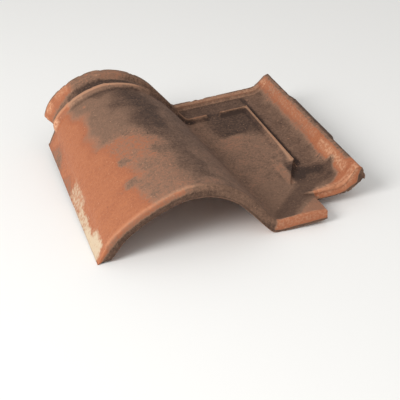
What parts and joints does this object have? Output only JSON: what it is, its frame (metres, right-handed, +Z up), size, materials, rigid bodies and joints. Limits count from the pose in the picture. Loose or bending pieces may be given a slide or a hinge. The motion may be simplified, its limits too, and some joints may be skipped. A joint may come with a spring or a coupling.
{
  "type": "interlocking clay roof tile",
  "caption": "Pressed barrel-and-pan clay roof tile with head ribs, an interlocking side channel with its roll, and a nib that hooks over a batten.",
  "frame": {"origin": "middle of the bounding box's underside, on the surface that the tile lies on", "axes": "+Z up with the tile lying at rest, +Y towards its head, +X towards its side channel and roll"},
  "size_m": [0.3094, 0.3126, 0.0884],
  "materials": {
    "fired_clay": "matt fired terracotta, sprayed grey-brown over orange clay, weathered, with lime along the left edge"
  },
  "bodies": {
    "root": {"roof_tile": "fired_clay"}
  },
  "joints": []
}
